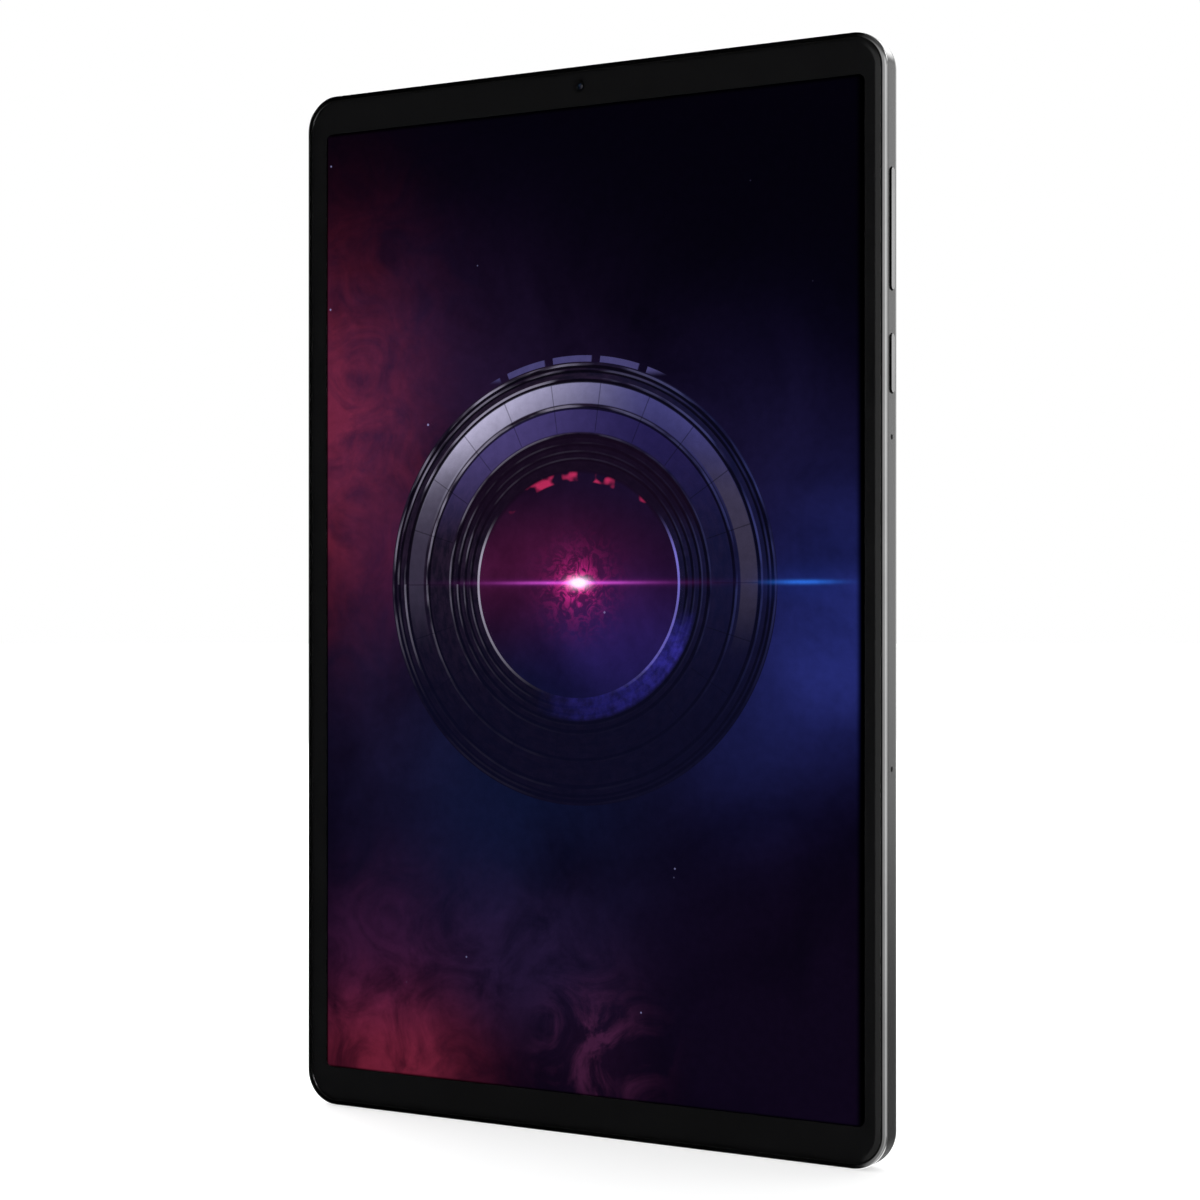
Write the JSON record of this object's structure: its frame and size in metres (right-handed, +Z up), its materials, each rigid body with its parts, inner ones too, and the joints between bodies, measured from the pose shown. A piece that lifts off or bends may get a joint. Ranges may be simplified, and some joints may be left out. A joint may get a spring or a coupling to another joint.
{
  "type": "tablet computer",
  "caption": "Slim upright tablet computer with a full glass front, metal shell, side keys, card tray, USB-C socket and rear camera, with its inner parts.",
  "frame": {"origin": "middle of the bottom edge: centre of the width, halfway between the glass and the rear face, at the lowest point", "axes": "+Z up the long side, +X to the right seen from the front (the side with the keys), +Y from the screen toward the rear face, so the screen faces -Y"},
  "size_m": [0.1277, 0.0088, 0.205],
  "materials": {
    "anodised_shell": "fine bead-blasted dark grey anodising, satin",
    "polished_lip": "smooth anodised frame with bright cut edges",
    "key_metal": "satin anodised keys with bright cut edges",
    "cover_glass": "clear hardened glass with a ground edge",
    "black_print": "opaque black ink under glass",
    "black_adhesive": "matte black foam tape",
    "clear_adhesive": "clear optical resin",
    "display_panel": "glossy lit panel",
    "white_film": "matte white film",
    "clear_plastic": "clear moulded plastic",
    "led_yellow": "small phosphor lamps",
    "steel_sheet": "bright pressed sheet",
    "graphite": "dull grey graphite film",
    "flex_film": "amber polyimide film with copper tracks",
    "battery_pouch": "dark laminated foil pouch",
    "circuit_board": "solder-masked board",
    "chip_black": "moulded chip package",
    "copper": "brushed copper",
    "gold_contact": "gold-plated contacts",
    "black_plastic": "moulded black plastic",
    "island_black": "satin black surround",
    "cone_film": "pressed film diaphragm",
    "soft_rubber": "thin silicone roll",
    "tungsten": "sintered heavy metal",
    "antenna_plastic": "moulded strip, dark grey",
    "spring_steel": "thin sprung sheet"
  },
  "bodies": {
    "tablet_body": {"rear_shell": "anodised_shell", "mid_frame": "polished_lip", "frame_adhesive": "black_adhesive", "cover_glass": "cover_glass", "border_print": "black_print", "display_adhesive": "black_adhesive", "optical_adhesive": "clear_adhesive", "lcd_cell": "display_panel", "diffuser_films": "white_film", "light_guide": "clear_plastic", "backlight_leds": "led_yellow", "lcd_back_tray": "steel_sheet", "graphite_sheet": "graphite", "display_flex": "flex_film", "battery_left": "battery_pouch", "battery_right": "battery_pouch", "battery_board": "circuit_board", "battery_adhesive": "white_film", "mainboard": "circuit_board", "board_chips": "chip_black", "shield_can_main": "steel_sheet", "shield_can_radio": "steel_sheet", "vapor_chamber": "copper", "sub_board": "circuit_board", "board_link_flex": "flex_film", "board_screws": "steel_sheet", "usb_shell": "steel_sheet", "usb_tongue": "black_plastic", "volume_domes": "spring_steel", "power_dome": "spring_steel", "side_key_flex": "flex_film", "key_bracket": "steel_sheet", "reader_base": "black_plastic", "reader_contacts": "gold_contact", "reader_shell": "steel_sheet", "lever_pin": "steel_sheet", "camera_island": "island_black", "camera_windows": "cover_glass", "flash_led": "led_yellow", "rear_camera_housing": "black_plastic", "front_camera": "black_plastic", "speaker_box_top": "black_plastic", "speaker_surround_top": "soft_rubber", "speaker_box_bottom": "black_plastic", "speaker_surround_bottom": "soft_rubber", "haptic_case": "steel_sheet", "haptic_springs": "spring_steel", "side_microphones": "gold_contact", "antenna_window": "antenna_plastic"},
    "volume_key": {"volume_key": "key_metal"},
    "power_key": {"power_key": "key_metal"},
    "eject_rod": {"eject_rod": "steel_sheet"},
    "eject_lever": {"eject_lever": "steel_sheet"},
    "eject_slide": {"eject_slide": "black_plastic"},
    "card_tray": {"card_tray": "black_plastic", "tray_faceplate": "anodised_shell"},
    "haptic_mass": {"haptic_mass": "tungsten"},
    "lens_barrel": {"lens_barrel": "black_plastic"},
    "speaker_cone_top": {"speaker_cone_top": "cone_film"},
    "speaker_cone_bottom": {"speaker_cone_bottom": "cone_film"}
  },
  "joints": [
    {"name": "volume_tilt", "type": "hinge", "parent": "tablet_body", "child": "volume_key", "pos_m": [0.0622, -0.0014, 0.1693], "axis": [0, 1, 0], "range_deg": [-1.1, 1.1], "stiffness_Nm_per_rad": 0.6, "deforming": ["volume_domes"]},
    {"name": "power_press", "type": "slide", "parent": "tablet_body", "child": "power_key", "axis": [-1, 0, 0], "range_m": [0, 0.00025], "stiffness_N_per_m": 500, "springref_m": -0.0005, "deforming": ["power_dome"]},
    {"name": "eject_press", "type": "slide", "parent": "tablet_body", "child": "eject_rod", "axis": [1, 0, 0], "range_m": [0, 0.0018], "stiffness_N_per_m": 300, "springref_m": -0.0005},
    {"name": "lever_swing", "type": "hinge", "parent": "tablet_body", "child": "eject_lever", "pos_m": [-0.0445, 0.001, 0.177], "axis": [0, 1, 0], "range_deg": [0, 23]},
    {"name": "tray_eject", "type": "slide", "parent": "tablet_body", "child": "eject_slide", "axis": [-1, 0, 0], "range_m": [0, 0.00205]},
    {"name": "tray_pull", "type": "slide", "parent": "eject_slide", "child": "card_tray", "axis": [-1, 0, 0], "range_m": [0, 0.022]},
    {"name": "haptic_shake", "type": "slide", "parent": "tablet_body", "child": "haptic_mass", "axis": [1, 0, 0], "range_m": [-0.0005, 0.0005], "stiffness_N_per_m": 500, "deforming": ["haptic_springs"]},
    {"name": "lens_focus", "type": "slide", "parent": "tablet_body", "child": "lens_barrel", "axis": [0, 1, 0], "range_m": [0, 0.0003], "stiffness_N_per_m": 500, "springref_m": -0.0005},
    {"name": "top_cone_stroke", "type": "slide", "parent": "tablet_body", "child": "speaker_cone_top", "axis": [0, 1, 0], "range_m": [-0.0003, 0.0003], "stiffness_N_per_m": 500, "deforming": ["speaker_surround_top"]},
    {"name": "bottom_cone_stroke", "type": "slide", "parent": "tablet_body", "child": "speaker_cone_bottom", "axis": [0, 1, 0], "range_m": [-0.0003, 0.0003], "stiffness_N_per_m": 500, "deforming": ["speaker_surround_bottom"]}
  ],
  "couplings": [
    {"joint": "lever_swing", "follows": "eject_press", "rad_per_m": 217.8},
    {"joint": "tray_eject", "follows": "eject_press", "ratio": 1.13}
  ]
}
